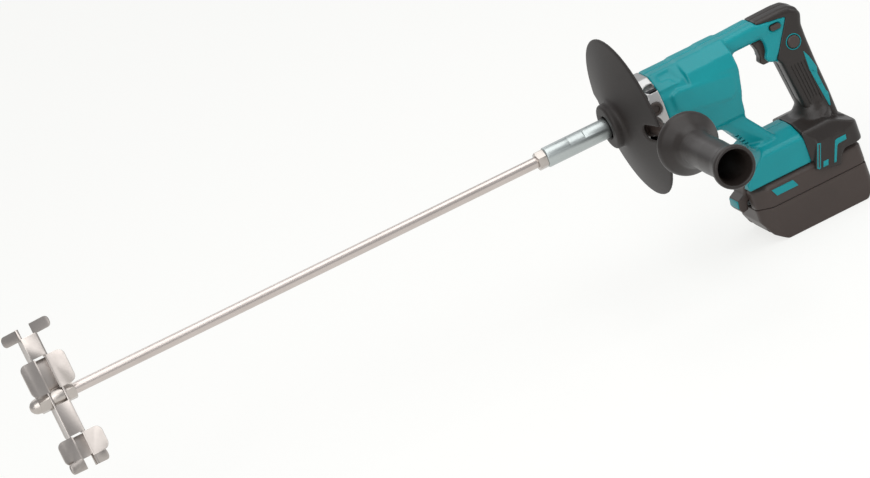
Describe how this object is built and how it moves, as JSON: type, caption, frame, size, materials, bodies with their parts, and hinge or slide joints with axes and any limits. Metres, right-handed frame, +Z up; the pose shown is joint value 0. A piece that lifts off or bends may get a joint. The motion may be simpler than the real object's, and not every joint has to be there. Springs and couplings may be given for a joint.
{
  "type": "mixing drill",
  "caption": "Battery mixing drill with a D-shaped rear handle, a long side grip, a rubber splash shield and a folded steel blade on a long shaft.",
  "frame": {"origin": "middle of the flat underside of the battery, where the tool is set down", "axes": "+X forward along the mixing shaft to the blade, +Y to the operator's left where the side grip is fitted, +Z up"},
  "size_m": [0.9219, 0.3404, 0.2775],
  "materials": {
    "teal_plastic": "moulded glass-filled nylon, fine satin grain",
    "dark_plastic": "moulded black-brown nylon, fine grain",
    "soft_grip": "soft elastomer moulded over the frame, matt",
    "bright_steel": "turned or pressed stainless steel, bright",
    "cast_aluminium": "cast aluminium, bead blasted",
    "shield_rubber": "black rubber, matt",
    "silicon_steel": "stacked electrical steel",
    "copper_wire": "enamelled copper",
    "circuit_board": "coated circuit board",
    "black_steel": "blackened steel",
    "cell_sleeve": "shrink sleeve"
  },
  "bodies": {
    "tool": {"base_cover": "soft_grip", "controller": "circuit_board", "gear_cover": "cast_aluminium", "gear_housing": "cast_aluminium", "gear_housing_screws": "black_steel", "grip_cover_left": "soft_grip", "grip_cover_right": "soft_grip", "housing_left": "teal_plastic", "housing_right": "teal_plastic", "housing_screws": "black_steel", "intermediate_bearing_front": "bright_steel", "intermediate_bearing_rear": "bright_steel", "motor_bearing_front": "bright_steel", "motor_bearing_rear": "bright_steel", "motor_leads": "copper_wire", "oil_seal": "shield_rubber", "sensor_board": "circuit_board", "shield": "shield_rubber", "side_plug": "dark_plastic", "spindle_bearing_front": "bright_steel", "spindle_bearing_rear": "bright_steel", "stator": "silicon_steel", "stator_coils": "copper_wire", "switch_leads": "copper_wire", "terminal_block": "dark_plastic", "trigger_spring": "bright_steel", "trigger_switch": "dark_plastic"},
    "mixer": {"mixing_shaft": "bright_steel", "shaft_lock_nut": "bright_steel", "joint_sleeve": "bright_steel", "output_spindle": "bright_steel", "impeller": "bright_steel", "impeller_hub": "bright_steel", "impeller_rear_nut": "bright_steel", "impeller_cap_nut": "bright_steel", "output_gear": "black_steel"},
    "lay_gear": {"intermediate_gear": "black_steel"},
    "rotor": {"rotor_shaft": "bright_steel", "rotor_core": "silicon_steel", "cooling_fan": "dark_plastic"},
    "trigger": {"trigger": "dark_plastic"},
    "lock_button": {"lock_button": "dark_plastic"},
    "lock_bolt": {"lock_bolt": "dark_plastic"},
    "side_handle": {"side_grip": "soft_grip", "side_grip_spacer": "dark_plastic", "side_grip_stud": "bright_steel"},
    "battery": {"battery_case_lower": "dark_plastic", "battery_screws": "black_steel", "battery_case_upper": "dark_plastic", "battery_label_plates": "teal_plastic", "battery_terminals": "copper_wire", "battery_cells": "cell_sleeve", "battery_board": "circuit_board", "latch_spring": "bright_steel"},
    "latch": {"battery_latch": "teal_plastic"}
  },
  "joints": [
    {"name": "mixer_spin", "type": "hinge", "parent": "tool", "child": "mixer", "pos_m": [0.5, 0, 0.188], "axis": [1, 0, 0], "continuous": true},
    {"name": "lay_spin", "type": "hinge", "parent": "tool", "child": "lay_gear", "pos_m": [0.14, 0, 0.162], "axis": [1, 0, 0], "continuous": true},
    {"name": "rotor_spin", "type": "hinge", "parent": "tool", "child": "rotor", "pos_m": [0.08, 0, 0.188], "axis": [1, 0, 0], "continuous": true},
    {"name": "trigger_pull", "type": "slide", "parent": "tool", "child": "trigger", "axis": [-1, 0, 0], "range_m": [0, 0.007], "stiffness_N_per_m": 600, "springref_m": -0.01, "deforming": ["trigger_spring"]},
    {"name": "lock_button_press", "type": "slide", "parent": "tool", "child": "lock_button", "axis": [0, -1, 0], "range_m": [0, 0.002], "stiffness_N_per_m": 500, "springref_m": -0.004},
    {"name": "lock_bolt_slide", "type": "slide", "parent": "tool", "child": "lock_bolt", "axis": [0, -1, 0], "range_m": [0, 0.002]},
    {"name": "side_handle_turn", "type": "hinge", "parent": "tool", "child": "side_handle", "pos_m": [0.152, 0.1, 0.182], "axis": [0, 1, 0], "continuous": true},
    {"name": "battery_slide", "type": "slide", "parent": "tool", "child": "battery", "axis": [1, 0, 0], "range_m": [0, 0.16]},
    {"name": "latch_press", "type": "slide", "parent": "battery", "child": "latch", "axis": [0, 0, -1], "range_m": [0, 0.0035], "stiffness_N_per_m": 800, "springref_m": -0.005, "deforming": ["latch_spring"]}
  ],
  "couplings": [
    {"joint": "lay_spin", "follows": "mixer_spin", "ratio": -3},
    {"joint": "rotor_spin", "follows": "mixer_spin", "ratio": 18.667}
  ]
}
